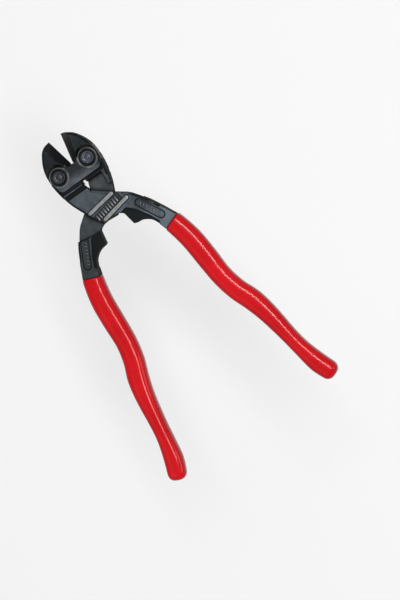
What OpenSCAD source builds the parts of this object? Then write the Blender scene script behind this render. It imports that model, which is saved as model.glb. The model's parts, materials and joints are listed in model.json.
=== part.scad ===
// Compact bolt cutters: two forged levers, each turning on its own pin between two link plates.
// The levers are the same forging, one turned over. Each is full thickness at the jaw and at the
// handle and half thickness at the neck, where the two cross. The tool lies flat, jaws towards +Y.
// Lever shapes are drawn with the jaws shut and then swung open about the pin.

/* [Linkage] */
// Distance between the two pivot pins
pin_spacing = 19.2; // [18.8:0.1:19.6]
// Diameter of a pivot pin
pin_d = 6.2; // [5:0.1:6.6]
// Radial clearance of a lever on its pin
pin_clear = 0.05; // [0.02:0.01:0.08]
// How far each lever is swung open, from the shut jaws
jaw_open = 12; // [0:1:17]
// How far each lever can swing open, from the shut jaws
jaw_open_max = 17; // [17:1:17]

/* [Thickness] */
// Thickness of the levers at the jaws
lever_t = 10.4; // [9.6:0.2:10.6]
// Thickness of one link plate
plate_t = 2.2; // [1.8:0.1:2.4]
// Thickness over both link plates
joint_t = 10.9; // [10.7:0.1:11.2]
// Thickness of the levers between the claws and the grips
shank_t = 9; // [8.4:0.2:9.4]
// Thickness of the tangs inside the grips
tang_t = 7.4; // [6.4:0.2:7.8]
// Gap between the two half laps where they cross
lap_gap = 0.1; // [0.06:0.02:0.2]

/* [Blades] */
// Height of the blade tips above the line through the pins
blade_tip = 17.8; // [17:0.1:18.4]
// Width of the ground bevel beside each cutting edge
bevel_w = 4.4; // [3:0.2:5]
// Width of the flat left on each cutting edge
edge_flat = 0.3; // [0.2:0.1:0.6]

/* [Link plates] */
// Radius of a plate round each pin
boss_r = 5.4; // [5.2:0.1:5.5]
// Height of the waist above the line through the pins
waist_y = 1.7; // [1:0.1:2.2]
// Distance from the line through the pins to the plate's lower edge
plate_drop = 8.2; // [7.8:0.1:8.3]
// Radius of a rivet washer
washer_r = 4.7; // [4.3:0.1:4.8]
// Thickness of a rivet washer
washer_t = 1; // [0.8:0.1:1.2]

/* [Grips] */
// Width of a grip at its widest
grip_w = 12; // [11.4:0.1:12.4]
// Thickness of a grip
grip_t = 10.8; // [10:0.1:10.9]
// Thickness of the rubber over the tang
coat = 1.8; // [1.4:0.1:2]

/* [Hidden] */

steel = "#3a4048";
pin_steel = "#565c68";
washer_steel = "#262a2c";
rubber = "#d3202a";

px = pin_spacing / 2;
mid_z = joint_t / 2;
seat_z = joint_t / 2 - plate_t;
edge_x = -0.05;
eps = 0.01;

// The lap face, its raised ribs, and the lower claw web.
lap_face_z = 4.4;
rib_z = 5.2;
rib_w = 2.3;
web_z = 3.4;
slope_over = 0.13;
chamfer_w = 1.6;
chamfer_drop = 1;
groove_z = 3.5;
shoulder_z = 4.8;
pocket_depth = 0.8;
pocket_w = 4.4;

// The blade, from its heel to its tip, and the inner flank that clears the other lever.
blade_heel = [edge_x, 1.8];
blade_nose = [edge_x, blade_tip];
flank_knee = [-3.6, -12];
lap_top = [-2.8, -17];

// Knots of the curved stretches, jaws shut, for the lever on the left pin.
head_knots = [
    [-2.4, blade_tip - 0.3], [-5.9, 16.2], [-9, 13.5], [-12, 9.9], [-14.3, 5.5],
    [-15.9, -0.3], [-16.6, -8.8], [-16.2, -16], [-14.8, -22.8]
];
lap_edge = [[-14.4, -27], [-11.8, -33.2], [-11.6, -34.9]];
scallop_knots = [[-5.7, -35.6], [-3.2, -36.2], [-1.2, -37.2], [0.35, -39]];
claw_flat_end = [0.1, -46.6];
web_knots = [[0.9, -47.2], [4.9, -48.8], [8.3, -52.3], [9.5, -56.2]];
shank_knots = [[17.2, -50.1], [15.3, -43.5], [11.3, -34.1], [8.4, -30.4], [5.5, -27.2]];

// Centre line of a tang and its grip, with the share of the full width at each knot.
grip_knots = [
    [14.3, -57.5, 0.95], [15.1, -64, 0.99], [15.1, -75, 1.03], [13.5, -87.5, 1.03],
    [11.75, -100, 0.98], [11.9, -111, 0.99], [13.6, -121.5, 1], [14, -133, 0.9],
    [13.2, -148, 0.77], [12.8, -158, 0.78], [13.1, -169, 0.91], [14.3, -176.4, 0.9]
];
grip_steps = 5;
grip_first = 3;
lip = 0.9;
tang_last = 47;

// The round step on the rear half, struck from the other pin, clears the other lever's lap.
step_center = [9.18, -3.99];
step_r = 36.3;

// The round tooth and its socket keep the levers in step. Their common centre lies on both
// pitch circles half way through the travel.
tooth_r = 1.7;
tooth_clear = 0.35;
tooth_center = [-px + px * cos(jaw_open_max / 2), -px * sin(jaw_open_max / 2)];

// ---- outlines ----

// Points along an arc from angle a0 to angle a1.
function arc(c, r, a0, a1, n) = [
    for (i = [0:n]) c + r * [cos(a0 + (a1 - a0) * i / n), sin(a0 + (a1 - a0) * i / n)]
];

// One span of a smooth curve through b and c.
function span(a, b, c, d, t) = 0.5 * (
    2 * b + (c - a) * t + (2 * a - 5 * b + 4 * c - d) * t * t
    + (3 * b - a - 3 * c + d) * t * t * t
);

// A smooth curve through all the knots, each span cut into steps.
function smooth(k, steps) = let (last = len(k) - 1) [
    for (i = [0:last - 1], j = [0:steps - 1])
        span(k[max(i - 1, 0)], k[i], k[i + 1], k[min(i + 2, last)], j / steps),
    k[last]
];

// The plane part of a path's point, and the unit normal to the right of the path there.
function place(p, i) = [p[i].x, p[i].y];
function normal(p, i) = let (
    d = place(p, min(i + 1, len(p) - 1)) - place(p, max(i - 1, 0)),
    u = d / norm(d)
) [u.y, -u.x];

// A closed ribbon along a path whose third coordinate is the share of the full width, less
// a margin on each side.
function ribbon(p, w, margin) = let (
    side = [for (i = [0:len(p) - 1]) (w / 2 * p[i].z - margin) * normal(p, i)]
) concat(
    [for (i = [0:len(p) - 1]) place(p, i) + side[i]],
    [for (i = [len(p) - 1:-1:0]) place(p, i) - side[i]]
);

grip_path = smooth(grip_knots, grip_steps);
tang_path = [for (i = [grip_first:tang_last]) grip_path[i]];

function mirrored(p) = concat(p, [for (i = [len(p) - 1:-1:0]) [-p[i].x, p[i].y]]);

// The two corners of the shank where it meets the grip, a lip's height inside the rubber.
function shank_mouth() = let (
    h = (grip_w / 2 * grip_path[grip_first].z - lip) * normal(grip_path, grip_first)
) [place(grip_path, grip_first) + h, place(grip_path, grip_first) - h];

lever_outline = concat(
    [blade_heel, blade_nose],
    smooth(head_knots, 2),
    lap_edge,
    smooth(scallop_knots, 3),
    [claw_flat_end],
    smooth(web_knots, 4),
    shank_mouth(),
    smooth(shank_knots, 2),
    [lap_top, flank_knee]
);

// The plate: a round boss at each pin, a waist tangent to both, and rounded lower corners.
waist_center = (px * px - pow(boss_r - waist_y, 2)) / (2 * (boss_r - waist_y));
waist_r = waist_center - waist_y;
waist_angle = atan2(waist_center, px);
corner_r = 2.6;
corner = [px + 1.7, corner_r - plate_drop];

function plate_outline() = mirrored(concat(
    arc(corner, corner_r, -90, 10, 5),
    arc([px, 0], boss_r, -25, 180 - waist_angle, 14),
    arc([0, waist_center], waist_r, -waist_angle, -85, 4)
));

// The recess that lets the plate turn over the lever.
seat_r = boss_r + 1.9;
seat_left = -15.7;
seat_outline = [
    [1, 2.3], [-4.4, 3], [-6.6, 5.3], [seat_left, -2], [seat_left, -8.4], [-3.2, -11.4], [1, -9]
];

// The dark groove between the plate's shoulder and the lap face.
groove_outline = [[-20, -8.9], [-3.4, -12.5], [-1, -15.2], [-20, -11.2]];

// What the rear half loses so that the other lever's lap passes behind this one.
lap_cut_outline = [
    [1, -11], [-3.48, -11.8], [-13.4, -9.7], [-14.5, -17.3], [-20, -17.6], [-20, -30],
    [-11, -34], [0, -36], [20, -30], [20, -12]
];

// ---- solids ----

// Swings a shape that is drawn with the jaws shut into the open position.
module swung() {
    translate([-px, 0, mid_z]) rotate([0, 0, jaw_open]) translate([px, 0, 0]) children();
}

// Turns a shape for the front lever over into its place on the rear lever.
module turned() {
    translate([0, 0, mid_z]) rotate([0, 180, 0]) translate([0, 0, -mid_z]) children();
}

// A slab of the shape below it, from one height to another.
module slab(z0, z1) {
    translate([0, 0, z0]) linear_extrude(z1 - z0) children();
}

module on_both_faces() {
    children();
    mirror([0, 0, 1]) children();
}

// The bevel is ground at the same angle on both faces, along the whole cutting edge.
module blade_bevel() {
    half = lever_t / 2;
    translate([0, blade_tip + 1, 0]) rotate([90, 0, 0]) linear_extrude(blade_tip + 2)
        polygon([
            [edge_x, edge_flat / 2], [edge_x - bevel_w, half], [edge_x - bevel_w, half + 1],
            [1, half + 1], [1, edge_flat / 2]
        ]);
}

// The seat is flat under the plate and slopes up to its rim round the boss.
module plate_seat() {
    base = seat_z - 0.05;
    slab(base, lever_t) polygon(seat_outline);
    intersection() {
        translate([-px, 0, base])
            cylinder(h = lever_t / 2 - base + eps, r1 = boss_r + 0.4, r2 = seat_r, $fn = 64);
        translate([seat_left, -seat_r, 0]) cube([4 * seat_r, 3 * seat_r, lever_t]);
    }
}

// A raised rib across the lap: a bar with round ends.
module rib(a, b) {
    d = b - a;
    n = rib_w / 2 * [-d.y, d.x] / norm(d);
    slab(lap_face_z - eps, rib_z) {
        polygon([a + n, a - n, b - n, b + n]);
        translate(a) circle(rib_w / 2, $fn = 32);
        translate(b) circle(rib_w / 2, $fn = 32);
    }
}

module lap_ribs() {
    rib([-12.2, -25.7], [3.6, -26.7]);
    rib([-8.8, -33.8], [7.8, -34.2]);
}

// The sunk slot in each face of the shank.
module shank_pocket() {
    a = [10.35, -40.9];
    b = [13.95, -53.9];
    d = b - a;
    n = pocket_w / 2 * [-d.y, d.x] / norm(d);
    slab(shank_t / 2 - pocket_depth, lever_t) {
        polygon([a + n, a - n, b - n, b + n]);
        translate(a) circle(pocket_w / 2, $fn = 32);
        translate(b) circle(pocket_w / 2, $fn = 32);
    }
}

// Everything above the lap face, from the groove below the plate to the start of the shank.
module lap_lowering() {
    slab(lap_face_z, lever_t)
        polygon([
            [2, -12.6], [-20, -11.1], [-20, -40], [-2, -38.6], [1.5, -38.2], [12, -36.6],
            [20, -30]
        ]);
    slab(groove_z, lever_t) polygon(groove_outline);
    slab(shoulder_z, lever_t) polygon([[1, -8], [-17, -6], [-17, -12], [1, -16]]);
}

// A slope cut along the edge from a to b of a face at height top. The solid lies to the left.
// The cutter is a triangle that runs out past both faces.
module edge_slope(a, b, top, width, drop) {
    d = b - a;
    translate([a.x, a.y, top]) rotate([0, 0, atan2(d.y, d.x)]) rotate([90, 0, 90])
        translate([0, 0, -slope_over]) linear_extrude(norm(d) + 2 * slope_over)
            polygon([[1.5 * width, 0.5 * drop], [-width, -2 * drop], [-width, 0.5 * drop]]);
}

// The slope along the edge of the lap that faces the other jaw.
module lap_chamfer() {
    edge_slope(shank_knots[len(shank_knots) - 1], lap_top, lap_face_z, chamfer_w, chamfer_drop);
}

// The rounded-off back of the jaw and of the lap, and the outer edge of the shank.
module back_slopes() {
    back = concat(smooth(head_knots, 2), lap_edge);
    for (i = [0:len(back) - 2])
        edge_slope(back[i], back[i + 1], back[i].y > -11 ? lever_t / 2 : lap_face_z, 1.2, 0.9);
    outer = smooth(shank_knots, 2);
    for (i = [0:len(outer) - 4])
        edge_slope(outer[i], outer[i + 1], shank_t / 2, 1.4, 1);
}

module shank_lowering() {
    slab(shank_t / 2, lever_t)
        polygon([[-3, -37.5], [0, -37.5], [12, -35], [30, -35], [30, -70], [-3, -70]]);
    slab(web_z, lever_t)
        polygon([
            [-3, -37.6], [3.4, -37.6], [6.4, -42], [9.4, -50], [10.8, -56], [8, -58],
            [-3, -58]
        ]);
}

module tang() {
    slab(-tang_t / 2, tang_t / 2) polygon(ribbon(tang_path, grip_w, coat));
}

module lap_half_cut() {
    slab(-lever_t, lap_gap / 2) {
        intersection() {
            polygon(lap_cut_outline);
            translate(step_center) circle(step_r, $fn = 180);
        }
        intersection() {
            translate([-30, -60]) square([60, 42]);
            translate(step_center) circle(step_r, $fn = 180);
        }
        translate([-30, -40]) square([29.8, 22]);
    }
}

module lever_forging() {
    difference() {
        union() {
            difference() {
                slab(-lever_t / 2, lever_t / 2) polygon(lever_outline);
                on_both_faces() blade_bevel();
                on_both_faces() shank_lowering();
                lap_lowering();
                lap_chamfer();
                on_both_faces() shank_pocket();
                on_both_faces() back_slopes();
            }
            slab(lap_gap / 2, seat_z - 0.05)
                translate(tooth_center) circle(tooth_r, $fn = 48);
            tang();
        }
        lap_half_cut();
        on_both_faces() plate_seat();
        slab(-lever_t, lap_gap / 2)
            translate(tooth_center) circle(tooth_r + tooth_clear, $fn = 48);
        translate([-px, 0, -lever_t]) cylinder(h = 2 * lever_t, d = pin_d + 2 * pin_clear, $fn = 64);
    }
    lap_ribs();
}

module front_lever() {
    color(steel) swung() lever_forging();
}

module rear_lever() {
    color(steel) turned() swung() lever_forging();
}

module link_plate() {
    difference() {
        slab(seat_z, joint_t / 2) polygon(plate_outline());
        for (side = [-1, 1]) {
            translate([side * px, 0, 0]) cylinder(h = joint_t, d = pin_d + 0.06, $fn = 64);
            translate([side * px, 0, joint_t / 2 - washer_t - 0.2])
                cylinder(h = joint_t, r = washer_r + 0.03, $fn = 64);
        }
    }
}

module front_link_plate() {
    color(steel) translate([0, 0, mid_z]) link_plate();
}

module rear_link_plate() {
    color(steel) turned() translate([0, 0, mid_z]) link_plate();
}

// Each end of a pin is riveted out into its washer.
flare = 0.5;
cone_h = washer_t - 0.1;

module pivot_pin(side) {
    end_z = joint_t / 2 - 0.3;
    color(pin_steel) translate([side * px, 0, mid_z]) {
        cylinder(h = 2 * (end_z - cone_h) + 2 * eps, d = pin_d, center = true, $fn = 64);
        for (way = [0, 180])
            rotate([way, 0, 0]) translate([0, 0, end_z - cone_h])
                cylinder(h = cone_h, r1 = pin_d / 2, r2 = pin_d / 2 + flare, $fn = 64);
    }
}

module rivet_washer(side) {
    bore_r = pin_d / 2 + 0.03;
    base = joint_t / 2 - 0.2 - washer_t;
    color(washer_steel) translate([side * px, 0, mid_z + base])
        difference() {
            cylinder(h = washer_t, r = washer_r, $fn = 64);
            translate([0, 0, -eps]) cylinder(h = 2 * washer_t, r = bore_r, $fn = 64);
            cylinder(h = washer_t + 0.1, r1 = bore_r, r2 = bore_r + flare * (washer_t + 0.1) / cone_h,
                $fn = 64);
        }
}

// ---- grips ----

grip_last = len(grip_path) - 1;
end_rings = 6;
end_round = 4.6;

// A quarter of a grip's section: a narrow flat face, a broad bevel and a rounded side.
quarter = [[1, 0], [0.985, 0.3], [0.93, 0.56], [0.78, 0.8], [0.52, 0.95], [0.24, 1]];

function full_section(w, t) = [
    for (k = [0:3], i = [0:len(quarter) - 1])
        let (q = quarter[k % 2 == 0 ? i : len(quarter) - 1 - i])
        if (k % 2 == 0 || i < len(quarter) - 1)
        if (k % 2 == 1 || k == 0 || i > 0)
        [q.x * w / 2 * (k == 0 || k == 3 ? 1 : -1), q.y * t / 2 * (k < 2 ? 1 : -1)]
];

// A ring of the sweep: the section stood up across the path.
function ring(c, n, w, t) = [
    for (q = full_section(w, t)) [c.x + n.x * q.x, c.y + n.y * q.x, q.y]
];

// The grip runs along the path and ends in a blunt round nose.
function grip_rings() = let (
    tip = place(grip_path, grip_last),
    n = normal(grip_path, grip_last),
    along = [-n.y, n.x],
    w = grip_w * grip_path[grip_last].z
) concat(
    [for (i = [grip_first:grip_last])
        ring(place(grip_path, i), normal(grip_path, i), grip_w * grip_path[i].z, grip_t)],
    [for (j = [1:end_rings]) let (a = 88 * j / end_rings, s = pow(cos(a), 0.7))
        ring(tip + along * end_round * sin(a), n, w * s, grip_t * s)]
);

module sweep(rings) {
    n = len(rings[0]);
    m = len(rings);
    polyhedron(
        points = [for (r = rings) each r],
        faces = concat(
            [for (i = [0:m - 2], j = [0:n - 1])
                [i * n + j, i * n + (j + 1) % n, (i + 1) * n + (j + 1) % n, (i + 1) * n + j]],
            [[for (j = [n - 1:-1:0]) j]],
            [[for (j = [0:n - 1]) (m - 1) * n + j]]
        )
    );
}

module grip() {
    difference() {
        sweep(grip_rings());
        tang();
    }
}

module right_grip() {
    color(rubber) swung() grip();
}

module left_grip() {
    color(rubber) turned() swung() grip();
}

front_lever();
rear_lever();
front_link_plate();
rear_link_plate();
pivot_pin(-1);  // left_pivot_pin
pivot_pin(1);  // right_pivot_pin
rivet_washer(-1);  // front_left_washer
rivet_washer(1);  // front_right_washer
turned() rivet_washer(1);  // rear_left_washer
turned() rivet_washer(-1);  // rear_right_washer
right_grip();
left_grip();
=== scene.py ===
"""Looks of the compact bolt cutters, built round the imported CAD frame."""
import json
import math

import bmesh
import bpy
from mathutils import Matrix, Vector


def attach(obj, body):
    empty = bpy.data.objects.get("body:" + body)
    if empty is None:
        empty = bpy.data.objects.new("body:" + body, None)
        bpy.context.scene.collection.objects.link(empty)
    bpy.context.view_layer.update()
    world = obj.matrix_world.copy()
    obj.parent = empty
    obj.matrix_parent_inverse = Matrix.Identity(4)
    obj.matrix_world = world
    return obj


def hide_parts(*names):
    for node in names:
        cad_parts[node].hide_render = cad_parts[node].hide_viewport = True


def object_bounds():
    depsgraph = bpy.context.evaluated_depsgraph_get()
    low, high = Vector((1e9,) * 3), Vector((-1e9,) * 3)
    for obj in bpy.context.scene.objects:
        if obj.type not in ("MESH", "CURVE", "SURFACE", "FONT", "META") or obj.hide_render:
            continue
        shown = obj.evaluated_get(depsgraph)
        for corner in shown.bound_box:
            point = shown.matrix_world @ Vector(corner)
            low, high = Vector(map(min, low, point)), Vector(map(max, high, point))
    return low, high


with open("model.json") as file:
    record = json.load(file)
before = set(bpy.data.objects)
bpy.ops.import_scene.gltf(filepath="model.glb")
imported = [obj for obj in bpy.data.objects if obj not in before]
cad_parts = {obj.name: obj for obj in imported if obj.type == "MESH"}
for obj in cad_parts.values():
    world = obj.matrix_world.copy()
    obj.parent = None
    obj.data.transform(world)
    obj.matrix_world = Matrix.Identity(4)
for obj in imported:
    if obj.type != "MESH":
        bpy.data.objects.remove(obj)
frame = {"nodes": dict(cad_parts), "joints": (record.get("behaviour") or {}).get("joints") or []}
cad_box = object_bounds()

MM = 0.001


# ---- camera: nearly square on to the tool, a little from its right ----

VIEW_TILT = math.radians(10)
VIEW_CENTRE = Vector((14.55, -97.7, 5.45)) * MM
VIEW_HEIGHT = 324 * MM
VIEW_DISTANCE = 0.9
IMAGE_UP = Vector((0.5785, 0.8157, 0))


def add_camera():
    """A camera that looks at the middle of the view along the tilted line."""
    out = Vector((math.sin(VIEW_TILT), 0, math.cos(VIEW_TILT)))
    up = (IMAGE_UP - out * IMAGE_UP.dot(out)).normalized()
    right = up.cross(out)
    turn = Matrix((right, up, out)).transposed()
    data = bpy.data.cameras.new("camera")
    data.sensor_fit = "VERTICAL"
    data.angle = 2 * math.atan(VIEW_HEIGHT / 2 / VIEW_DISTANCE)
    camera = bpy.data.objects.new("camera", data)
    camera.matrix_world = Matrix.Translation(VIEW_CENTRE + out * VIEW_DISTANCE) @ turn.to_4x4()
    bpy.context.scene.collection.objects.link(camera)
    bpy.context.scene.camera = camera


# ---- measures that the pieces share ----

PIN_X = max(joint["pos_m"][0] for joint in frame["joints"])
TOP_Z = cad_box[1][2]
MID_Z = TOP_Z / 2


# ---- materials ----

# Floors of the sunk parts of the levers lie this far from the middle plane.
RECESS_Z = 3.45 * MM
# Below this height along the tool the shanks take the last share: painted highlight or shade.
SHANK_PAINT_Y = -44 * MM
# A high power keeps the rubbed tone on the flats and off the rounded edges and slopes, which
# take the black wall tone, partly as painted shade.
FLAT_POWER = 12
# The tone of a band round a pin, such as its seat, fades out over this width.
RING_FADE = 0.4 * MM


class Nodes:
    """A small helper that adds shader nodes and joins them."""

    def __init__(self, name):
        self.material = bpy.data.materials.new(name)
        self.material.use_nodes = True
        self.tree = self.material.node_tree
        self.bsdf = self.tree.nodes["Principled BSDF"]

    def add(self, kind, inputs=(), **settings):
        node = self.tree.nodes.new(kind)
        for key, value in settings.items():
            setattr(node, key, value)
        for key, value in dict(inputs).items():
            self.put(node.inputs[key], value)
        return node

    def put(self, socket, value):
        if isinstance(value, bpy.types.NodeSocket):
            self.tree.links.new(value, socket)
        else:
            socket.default_value = value

    def shade(self, **values):
        for key, value in values.items():
            self.put(self.bsdf.inputs[key.replace("_", " ").title().replace("Ior", "IOR")], value)

    def noise(self, scale, detail=3, rough=0.5):
        place = self.add("ShaderNodeTexCoord").outputs["Object"]
        return self.add(
            "ShaderNodeTexNoise",
            {"Vector": place, "Scale": scale, "Detail": detail, "Roughness": rough},
        ).outputs["Fac"]

    def ramp(self, factor, low, high, start, end):
        """Maps a factor from one range to another, kept inside the new range."""
        return self.add(
            "ShaderNodeMapRange",
            {"Value": factor, "From Min": low, "From Max": high, "To Min": start, "To Max": end},
        ).outputs["Result"]

    def math(self, operation, a, b=0.0):
        return self.add("ShaderNodeMath", {0: a, 1: b}, operation=operation).outputs[0]

    def blend(self, factor, a, b):
        node = self.add("ShaderNodeMix", data_type="RGBA")
        self.put(node.inputs["Factor"], factor)
        self.put(node.inputs["A"], a)
        self.put(node.inputs["B"], b)
        return node.outputs["Result"]

    def bump(self, height, strength, distance, under=None):
        node = self.add(
            "ShaderNodeBump", {"Height": height, "Strength": strength, "Distance": distance}
        )
        if under is not None:
            self.put(node.inputs["Normal"], under)
        return node.outputs["Normal"]

    def edges(self, low, high):
        """How far a point stands on a convex edge."""
        pointed = self.add("ShaderNodeNewGeometry").outputs["Pointiness"]
        return self.ramp(pointed, low, high, 0, 1)

    def openness(self, reach):
        """Painted shade: one in the open, less in a recess, from ambient occlusion."""
        shade = self.add("ShaderNodeAmbientOcclusion", {"Distance": reach}, samples=8)
        return self.ramp(shade.outputs["AO"], 0.35, 0.9, 0.05, 1)

    def pin_distance(self):
        """How far a point stands from the axis of the nearer pivot pin."""
        place = self.add("ShaderNodeTexCoord").outputs["Object"]
        parts = self.add("ShaderNodeSeparateXYZ", {0: place}).outputs
        across = self.math("SUBTRACT", self.math("ABSOLUTE", parts["X"]), PIN_X)
        across = self.math("MULTIPLY", across, across)
        along = self.math("MULTIPLY", parts["Y"], parts["Y"])
        return self.math("SQRT", self.math("ADD", across, along))

    def flats(self):
        """One on a surface that faces up or down, none on an upright wall."""
        normal = self.add("ShaderNodeNewGeometry").outputs["Normal"]
        upright = self.add("ShaderNodeSeparateXYZ", {0: normal}).outputs["Z"]
        return self.math("POWER", self.math("ABSOLUTE", upright), FLAT_POWER)


def forged_steel(name, flat_tone, wall_tone, worn_tone, dim_height, shares, pin_ring):
    """Blackened steel: rubbed slate flats, black rough walls, recesses darkened by painted shade,
    and worn edges. The black of walls and slopes is partly the forged finish, partly painted
    shade.

    The shares scale the tone of the flats: above dim_height along the tool, below it, and near
    the grips, where a share above the middle one is a painted highlight and one below it painted
    shade. The pin ring is a band round each pin with a tone of its own: its inner radius, outer
    radius and tone.
    """
    n = Nodes(name)
    patches = n.noise(160, 4, 0.6)
    smears = n.ramp(n.noise(90, 5, 0.7), 0.35, 0.65, 0.62, 1.3)
    specks = n.noise(2600, 2, 0.6)
    spot = n.add("ShaderNodeSeparateXYZ", {0: n.add("ShaderNodeTexCoord").outputs["Object"]})
    ring_start, ring_end, ring_tone = pin_ring
    radius = n.pin_distance()
    near_pin = n.ramp(radius, ring_end, ring_end + RING_FADE, 1, 0)
    sunk = n.math("ABSOLUTE", n.math("SUBTRACT", spot.outputs["Z"], MID_Z))
    sunk = n.math("ABSOLUTE", n.math("SUBTRACT", sunk, RECESS_Z))
    sunk = n.math("ADD", sunk, n.math("MULTIPLY", near_pin, MM))
    rubbed = n.ramp(sunk, 0.14 * MM, 0.24 * MM, 0.06, 1)
    wander = n.math("ADD", spot.outputs["Y"], n.ramp(n.noise(70, 2), 0.3, 0.7, -3 * MM, 3 * MM))
    high, middle, low = shares
    height_share = n.ramp(wander, dim_height - 2 * MM, dim_height + 3 * MM, 1, high / middle)
    # Painted highlight or painted shade on the shanks near the grips, from the last share.
    shank_paint = n.ramp(wander, SHANK_PAINT_Y - 4 * MM, SHANK_PAINT_Y + 4 * MM, low, middle)
    height_share = n.math("MULTIPLY", height_share, shank_paint)
    flats = n.math("MULTIPLY", n.flats(), n.ramp(patches, 0.3, 0.7, 0.75, 1))
    # Painted shade: recesses darken the flats by ambient occlusion.
    flats = n.math("MULTIPLY", flats, n.openness(0.0025))
    flats = n.math("MULTIPLY", flats, n.math("MULTIPLY", rubbed, height_share))
    # Walls and slopes go to the black wall tone: partly the forged finish, partly painted shade.
    tone = n.blend(n.math("MULTIPLY", flats, smears), wall_tone, flat_tone)
    past_start = n.ramp(radius, ring_start, ring_start + RING_FADE, 0, 1)
    in_ring = n.math("MULTIPLY", near_pin, past_start)
    in_ring = n.math("MULTIPLY", in_ring, n.ramp(n.noise(260, 4, 0.6), 0.38, 0.62, 0.25, 0.85))
    tone = n.blend(in_ring, tone, ring_tone)
    scuffs = n.ramp(n.noise(420, 3), 0.35, 0.6, 0.15, 0.7)
    tone = n.blend(n.math("MULTIPLY", n.edges(0.54, 0.62), scuffs), tone, worn_tone)
    grain = n.bump(n.noise(900, 4, 0.65), 0.35, 0.0002)
    shine = n.math("MULTIPLY", flats, n.ramp(patches, 0.3, 0.7, 0.8, 1))
    ring_metal = n.math("MULTIPLY", in_ring, 0.8)
    n.shade(
        base_color=tone,
        metallic=n.math("MAXIMUM", n.ramp(flats, 0, 0.4, 0.1, 0.45), ring_metal),
        roughness=n.ramp(n.math("MAXIMUM", shine, in_ring), 0, 1, 0.72, 0.38),
        normal=n.bump(specks, 0.25, 0.00006, grain),
        specular_ior_level=0.08,
    )
    return n.material


def ground_steel(name, tone, dark_tone):
    """Steel with fine grinding lines across the tool, and darker stains."""
    n = Nodes(name)
    place = n.add("ShaderNodeTexCoord").outputs["Object"]
    drawn = n.add("ShaderNodeMapping", {"Vector": place, "Scale": (0.08, 1.0, 1.0)}).outputs[0]
    grain = {"Vector": drawn, "Scale": 4200.0, "Detail": 2.0}
    lines = n.add("ShaderNodeTexNoise", grain).outputs["Fac"]
    stain = n.ramp(n.noise(500, 4, 0.6), 0.35, 0.65, 0, 0.6)
    n.shade(
        base_color=n.blend(stain, tone, dark_tone),
        metallic=0.8,
        roughness=n.ramp(lines, 0.3, 0.7, 0.34, 0.5),
        normal=n.bump(lines, 0.3, 0.00004),
    )
    return n.material


def turned_steel(name, tone, dark_tone, ring_pitch, ring_depth):
    """Steel with fine turning rings round the pin it stands on."""
    n = Nodes(name)
    rings = n.math("SINE", n.math("MULTIPLY", n.pin_distance(), 2 * math.pi / ring_pitch))
    wobble = n.ramp(n.noise(1500, 3, 0.6), 0.3, 0.7, -1, 1)
    height = n.math("ADD", rings, wobble)
    stain = n.ramp(n.noise(700, 4, 0.6), 0.35, 0.7, 0, 1)
    n.shade(
        base_color=n.blend(stain, tone, dark_tone),
        metallic=0.75,
        roughness=n.ramp(stain, 0, 1, 0.3, 0.48),
        normal=n.bump(height, 0.5, ring_depth),
    )
    return n.material


def soft_red(name):
    """Glossy red soft plastic, slightly cloudy, with hand smears, painted shade on its upright
    sides, and a faint moulded ripple.
    """
    n = Nodes(name)
    cloud = n.ramp(n.noise(55, 3, 0.5), 0.3, 0.7, 0, 1)
    tone = n.blend(cloud, (0.5, 0.003, 0.006, 1), (0.6, 0.005, 0.01, 1))
    upright = n.add(
        "ShaderNodeSeparateXYZ", {0: n.add("ShaderNodeNewGeometry").outputs["Normal"]}
    ).outputs["Z"]
    # Painted shade: the upright sides of the grip are painted a darker red.
    painted_side_shade = n.ramp(n.math("ABSOLUTE", upright), 0.25, 0.8, 0.75, 0)
    tone = n.blend(painted_side_shade, tone, (0.24, 0.003, 0.006, 1))
    ripple = n.bump(n.noise(190, 2, 0.4), 0.16, 0.0004)
    n.shade(
        base_color=tone,
        roughness=n.ramp(n.noise(340, 4, 0.65), 0.4, 0.75, 0.24, 0.36),
        normal=n.bump(n.noise(2400, 3, 0.55), 0.08, 0.00005, ripple),
        specular_ior_level=0.06,
        coat_weight=0.5,
        coat_ior=1.35,
        coat_roughness=0.07,
    )
    return n.material


# ---- pieces ----

# Vertices of a CAD mesh that are closer than this are the same point.
WELD = 0.002 * MM


def link(name, mesh, body):
    """A visible piece that rides on a body."""
    piece = bpy.data.objects.new(name, mesh)
    bpy.context.scene.collection.objects.link(piece)
    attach(piece, body)
    return piece


def worked(mesh, steps):
    """The mesh after a list of modifiers, each given as its type and settings."""
    scratch = bpy.data.objects.new("scratch", mesh)
    bpy.context.scene.collection.objects.link(scratch)
    for kind, settings in steps:
        modifier = scratch.modifiers.new(kind.lower(), kind)
        for key, value in settings.items():
            setattr(modifier, key, value)
    graph = bpy.context.evaluated_depsgraph_get()
    result = bpy.data.meshes.new_from_object(scratch.evaluated_get(graph))
    bpy.data.objects.remove(scratch)
    return result


def node_mesh(node, cut_y=None):
    """A welded copy of a CAD node's mesh, cut off below cut_y if that is given."""
    mesh = frame["nodes"][node].data.copy()
    mesh.materials.clear()
    bm = bmesh.new()
    bm.from_mesh(mesh)
    bmesh.ops.remove_doubles(bm, verts=bm.verts, dist=WELD)
    if cut_y is not None:
        cut = bmesh.ops.bisect_plane(
            bm, geom=bm.verts[:] + bm.edges[:] + bm.faces[:], dist=WELD / 2,
            plane_co=(0, cut_y, 0), plane_no=(0, -1, 0), clear_outer=True,
        )
        rim = [e for e in cut["geom_cut"] if isinstance(e, bmesh.types.BMEdge)]
        bmesh.ops.edgeloop_fill(bm, edges=rim)
    bm.to_mesh(mesh)
    bm.free()
    return mesh


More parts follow.
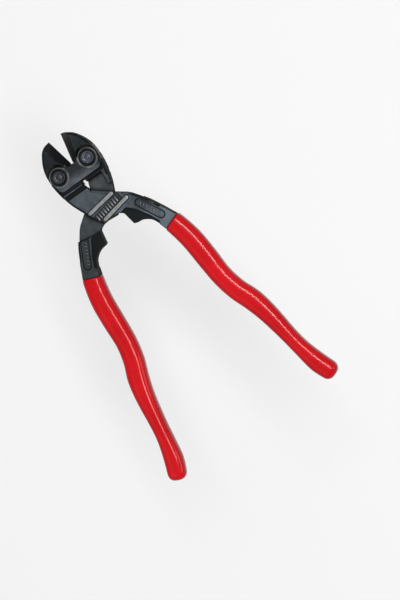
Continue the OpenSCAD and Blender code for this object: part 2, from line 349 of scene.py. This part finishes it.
def rounded(mesh, voxel, rounds, shrink):
    """The mesh with its sharp edges rounded, drawn in a little so that it keeps inside the CAD."""
    steps = [
        ("REMESH", {"mode": "VOXEL", "voxel_size": voxel, "use_smooth_shade": True}),
        ("SMOOTH", {"factor": 0.5, "iterations": rounds}),
    ]
    if shrink:
        steps.append(("DISPLACE", {"strength": -shrink, "mid_level": 0.0}))
    result = worked(mesh, steps)
    result.shade_smooth()
    return result


# ---- finishes ----

# Above these heights along the tool the flats of the levers and the plates are darker.
HEAD_DIM_Y = -9 * MM
PLATE_DIM_Y = -6 * MM
# The black of walls and slopes: partly the forged finish, partly painted shade.
BLACK = (0.006, 0.007, 0.0075, 1)
# The band round a pin where a plate sits on a lever, and the one where a washer rubs a plate.
SEAT_RING = (4 * MM, 7.2 * MM, (0.052, 0.054, 0.047, 1))
BOSS_RING = (4.6 * MM, 5.6 * MM, (0.16, 0.168, 0.165, 1))
# The last share paints a highlight on the front lever's shank.
front_steel = forged_steel(
    "blackened_front_forging", (0.125, 0.15, 0.175, 1), BLACK, (0.13, 0.14, 0.145, 1),
    HEAD_DIM_Y, (0.1, 0.6, 1), SEAT_RING,
)
# Painted shade: the rear lever is the same forging as the front one, in darker tones, with painted
# shade on its shank.
rear_steel = forged_steel(
    "blackened_rear_forging", (0.09, 0.104, 0.112, 1), BLACK, (0.11, 0.12, 0.12, 1),
    HEAD_DIM_Y, (0.25, 0.6, 0.44), SEAT_RING,
)
plate_steel = forged_steel(
    "blackened_plate", (0.1, 0.114, 0.13, 1), BLACK, (0.24, 0.25, 0.25, 1),
    PLATE_DIM_Y, (0.2, 0.95, 0.95), BOSS_RING,
)
panel_steel = forged_steel(
    "sunk_panel", (0.06, 0.068, 0.076, 1), BLACK, (0.1, 0.11, 0.115, 1),
    HEAD_DIM_Y, (0.2, 0.4, 0.4), SEAT_RING,
)
rib_steel = ground_steel("ground_rib", (0.25, 0.27, 0.262, 1), (0.13, 0.142, 0.14, 1))
chamfer_steel = ground_steel("rubbed_chamfer", (0.12, 0.132, 0.14, 1), (0.06, 0.067, 0.074, 1))
bar_steel = ground_steel("rubbed_bar", (0.26, 0.275, 0.285, 1), (0.12, 0.13, 0.14, 1))
blade_steel = ground_steel("ground_blade", (0.022, 0.024, 0.025, 1), (0.01, 0.011, 0.012, 1))
grip_red = soft_red("red_grip")

# How finely each kind of piece is remeshed, and how far its edges are rounded.
FORGED = {"voxel": 0.22 * MM, "rounds": 9, "shrink": 0.01 * MM}
STAMPED = {"voxel": 0.16 * MM, "rounds": 26, "shrink": 0.01 * MM}
MOULDED = {"voxel": 0.32 * MM, "rounds": 26, "shrink": 0}


# ---- levers ----

# The faces of a lever take one of these materials, in the order of its slots.
STEEL, RIB, BLADE, CHAMFER, PANEL = range(5)

# The tang is cut off where its grip hides it.
TANG_CUT = -66 * MM
# The limits of the ribs, the blades, the lap faces, and the panel between the ribs.
RIB_TOP = 10.35 * MM
RIB_START = -20 * MM
BLADE_START = 1.5 * MM
BLADE_REACH = 8.6 * MM
LAP_LOW = -29 * MM
LAP_HIGH = -14 * MM
LAP_Z = 9.85 * MM
LAP_SLACK = 0.1 * MM
PANEL_HALF = 2.3 * MM
PANEL_BEFORE = 4 * MM
PANEL_AFTER = 3 * MM

# Plain raised bars fill the panel between the two ribs of a lever, and its two pockets. The
# places, half lengths and half widths are in millimetres, and the heading is in degrees.
PANEL_ROW = {
    "start": (-4.6, -30.1), "end": (9.4, -27.2), "bars": 9, "half": (1.85, 0.5),
    "heading": 94, "low": 9.65, "top": 10.25,
}
POCKET_ROW = {
    "start": (18.8, -36.6), "end": (24.2, -47), "bars": 7, "half": (1.35, 0.4),
    "heading": 48, "low": 9.0, "top": 9.5,
}


def on_panel(spot, side):
    """Whether a point of a lap face lies between the two ribs."""
    start, end = Vector(PANEL_ROW["start"]) * MM, Vector(PANEL_ROW["end"]) * MM
    along = (end - start).normalized()
    reach = Vector((side * spot.x, spot.y)) - start
    across = reach.x * along.y - reach.y * along.x
    inside = -PANEL_BEFORE < reach.dot(along) < (end - start).length + PANEL_AFTER
    return inside and abs(across) < PANEL_HALF


def lever_slot(spot, normal, side):
    """The material of a face of a lever: side is 1 on the front lever and -1 on the rear one."""
    height = spot.z if side > 0 else TOP_Z - spot.z
    slope = abs(normal.z)
    if height > RIB_TOP and spot.y < RIB_START:
        return RIB
    if spot.y > BLADE_START and abs(spot.x) < BLADE_REACH:
        return BLADE if 0.4 < slope < 0.85 else STEEL
    if LAP_LOW < spot.y < LAP_HIGH and 0.7 < slope < 0.93:
        return CHAMFER if side * normal.x > 0.25 and normal.y > 0.25 else STEEL
    if abs(height - LAP_Z) < LAP_SLACK and on_panel(spot, side):
        return PANEL
    return STEEL


def add_lever(lever, side, steel):
    node = lever + "_lever"
    mesh = rounded(node_mesh(node, TANG_CUT), **FORGED)
    piece = link(node + "_forging", mesh, lever + "_arm")
    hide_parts(node)
    for material in (steel, rib_steel, blade_steel, chamfer_steel, panel_steel):
        mesh.materials.append(material)
    for face in mesh.polygons:
        face.material_index = lever_slot(face.center, face.normal, side)


LEVERS = (("front", 1, front_steel), ("rear", -1, rear_steel))
for lever, side, steel in LEVERS:
    add_lever(lever, side, steel)


# ---- raised bars on the levers ----

# Each bar has this many sides, and narrows to this share of its width at the top.
BAR_SIDES = 20
BAR_TOP_SHARE = 0.72


def bar_mesh(centres, half, heading, top, low, front):
    """A row of small raised bars with round ends and sloped sides, as one mesh."""
    bm = bmesh.new()
    ahead = Vector((math.cos(heading), math.sin(heading), 0))
    aside = Vector((-ahead.y, ahead.x, 0))
    reach = half[0] - half[1]
    for centre in centres:
        rings = []
        for share, z in ((1.0, low), (1.0, 0.5 * (low + top)), (BAR_TOP_SHARE, top)):
            ring = []
            for i in range(BAR_SIDES):
                a = 2 * math.pi * i / BAR_SIDES
                push = reach if math.cos(a) > 0 else -reach
                u = push + half[1] * share * math.cos(a)
                v = half[1] * share * math.sin(a)
                spot = Vector(centre) + u * ahead + v * aside
                spot.z = z if front else TOP_Z - z
                ring.append(bm.verts.new(spot))
            rings.append(ring)
        for below, above in zip(rings, rings[1:]):
            for i in range(BAR_SIDES):
                j = (i + 1) % BAR_SIDES
                bm.faces.new((below[i], below[j], above[j], above[i]))
        bm.faces.new(rings[0])
        bm.faces.new(rings[-1])
    bmesh.ops.recalc_face_normals(bm, faces=bm.faces)
    mesh = bpy.data.meshes.new("bars")
    bm.to_mesh(mesh)
    bm.free()
    mesh.shade_smooth()
    return mesh


def add_bars(name, body, row, side, front, steel):
    """A row of bars on the front or the rear face of a lever."""
    start, end = Vector(row["start"]), Vector(row["end"])
    centres = []
    for i in range(row["bars"]):
        spot = start.lerp(end, i / (row["bars"] - 1)) * MM
        centres.append((side * spot.x, spot.y, 0))
    heading = math.radians(row["heading"] if side > 0 else 180 - row["heading"])
    half = (row["half"][0] * MM, row["half"][1] * MM)
    mesh = bar_mesh(centres, half, heading, row["top"] * MM, row["low"] * MM, front)
    mesh.materials.append(steel)
    link(name, mesh, body)


for lever, side, _ in LEVERS:
    body = lever + "_arm"
    add_bars(lever + "_panel_bars", body, PANEL_ROW, side, side > 0, bar_steel)
    for face, front in (("outer", side > 0), ("inner", side < 0)):
        name = f"{lever}_{face}_pocket_bars"
        add_bars(name, body, POCKET_ROW, side, front, chamfer_steel)


# ---- link plates ----


def add_rounded(node, name, body, edges, material):
    """The rounded mesh of a CAD node, in one material."""
    piece = link(name, rounded(node_mesh(node), **edges), body)
    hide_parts(node)
    piece.data.materials.append(material)


for node in ("front_link_plate", "rear_link_plate"):
    add_rounded(node, node + "_stamping", "joint_block", STAMPED, plate_steel)


# ---- pins and washers ----

# How many sides a turned solid has.
TURNS = 96


def lathe(profile, x, flip):
    """A solid turned round the pin at x: profile is radius and height, from one end to the other.

    A profile that comes back to its first point makes a ring, and any other is closed with caps.
    """
    bm = bmesh.new()
    rows = []
    is_ring = profile[0] == profile[-1]
    for radius, height in profile[:-1] if is_ring else profile:
        z = TOP_Z - height * MM if flip else height * MM
        row = []
        for i in range(TURNS):
            a = 2 * math.pi * i / TURNS
            spot = (x + radius * MM * math.cos(a), radius * MM * math.sin(a), z)
            row.append(bm.verts.new(spot))
        rows.append(row)
    for low, high in zip(rows, rows[1:] + rows[:1] if is_ring else rows[1:]):
        for i in range(TURNS):
            j = (i + 1) % TURNS
            bm.faces.new((low[i], low[j], high[j], high[i]))
    if not is_ring:
        bm.faces.new(rows[0])
        bm.faces.new(rows[-1])
    bmesh.ops.recalc_face_normals(bm, faces=bm.faces)
    mesh = bpy.data.meshes.new("turned")
    bm.to_mesh(mesh)
    bm.free()
    mesh.shade_smooth()
    return mesh


# The pitch of the turning rings and their depth.
PIN_RINGS = (0.62 * MM, 0.04 * MM)
WASHER_RINGS = (0.4 * MM, 0.02 * MM)
# The pins are one steel: the right one is painted lighter as painted light, the left one darker as
# painted shade.
pin_faces = {
    "left": turned_steel(
        "pin_with_painted_shade", (0.05, 0.052, 0.062, 1), (0.02, 0.021, 0.026, 1), *PIN_RINGS
    ),
    "right": turned_steel(
        "pin_with_painted_light", (0.085, 0.09, 0.115, 1), (0.028, 0.03, 0.042, 1), *PIN_RINGS
    ),
}
washer_face = turned_steel(
    "black_washer", (0.008, 0.009, 0.009, 1), (0.004, 0.0045, 0.0045, 1), *WASHER_RINGS
)

# Radius and height in millimetres: the dished end of a pin, its shaft, and a washer.
PIN_HEAD = [(3.45, 10.05), (3.5, 10.2), (3.44, 10.4), (3.28, 10.54), (3.05, 10.6), (2.8, 10.58),
            (2.55, 10.46), (2.25, 10.3), (1.9, 10.22), (1.55, 10.22), (1.3, 10.3), (1.05, 10.42),
            (0.75, 10.48), (0.4, 10.5), (0.05, 10.5)]
WASHER = [(3.62, 9.8), (4.62, 9.8), (4.66, 9.95), (4.55, 10.1), (4.3, 10.16), (4.0, 10.14),
          (3.8, 10.06), (3.66, 9.95), (3.62, 9.8)]
SHAFT = [(3.08, TOP_Z / MM - 9.0), (3.08, 9.0)]
PIN_FOOT = [(radius, TOP_Z / MM - height) for radius, height in reversed(PIN_HEAD)]

for side, x in (("left", -PIN_X), ("right", PIN_X)):
    turned_pin = lathe(PIN_FOOT + SHAFT + PIN_HEAD, x, False)
    pin = link(side + "_rivet", turned_pin, "joint_block")
    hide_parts(side + "_pivot_pin")
    pin.data.materials.append(pin_faces[side])
    for end, flip in (("front", False), ("rear", True)):
        ring = link(f"{end}_{side}_ring", lathe(WASHER, x, flip), "joint_block")
        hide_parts(f"{end}_{side}_washer")
        ring.data.materials.append(washer_face)


# ---- grips ----

for node, body in (("right_grip", "front_arm"), ("left_grip", "rear_arm")):
    add_rounded(node, node + "_sleeve", body, MOULDED, grip_red)


# ---- stage ----

# In metres. The floor lies well below the tool, so that the shadow on it is soft.
FLOOR_HALF = 3.0
FLOOR_Z = -0.3
MIDDLE = Vector((0, -0.08, 0))


def add_floor():
    data = bpy.data.meshes.new("floor")
    signs = ((-1, -1), (1, -1), (1, 1), (-1, 1))
    corners = [(x * FLOOR_HALF, y * FLOOR_HALF, 0) for x, y in signs]
    data.from_pydata(corners, [], [(0, 1, 2, 3)])
    floor = bpy.data.objects.new("floor", data)
    floor.location.z = FLOOR_Z
    bpy.context.scene.collection.objects.link(floor)
    n = Nodes("pale_floor")
    paper = n.ramp(n.noise(30, 2), 0.3, 0.7, 0.88, 0.92)
    n.shade(base_color=(0.93, 0.93, 0.93, 1), roughness=paper)
    data.materials.append(n.material)


def add_light(name, place, width, length, power):
    """A rectangular light that faces the middle of the tool, with its length along the tool."""
    data = bpy.data.lights.new(name, "AREA")
    data.shape = "RECTANGLE"
    data.size = width
    data.size_y = length
    data.energy = power
    light = bpy.data.objects.new(name, data)
    out = (Vector(place) - MIDDLE).normalized()
    along = Vector((0, 1, 0))
    up = (along - out * out.dot(along)).normalized()
    turn = Matrix((up.cross(out), up, out)).transposed()
    light.matrix_world = Matrix.Translation(place) @ turn.to_4x4()
    bpy.context.scene.collection.objects.link(light)


def add_world():
    world = bpy.data.worlds.new("studio")
    world.use_nodes = True
    inputs = world.node_tree.nodes["Background"].inputs
    inputs["Color"].default_value = (0.9, 0.9, 0.9, 1)
    inputs["Strength"].default_value = 0.4
    bpy.context.scene.world = world


add_camera()
add_floor()
add_light("key", (0.55, 1.0, 2.7), 1.6, 1.6, 11)
add_light("fill", (-1.3, -0.7, 1.5), 1.6, 1.6, 4)
add_light("side", (1.9, -1.3, 1.4), 0.8, 1.0, 11)
add_light("top_strip", (0.52, -0.08, 2.15), 0.34, 1.15, 28)
add_world()
bpy.context.scene.view_settings.view_transform = "Standard"
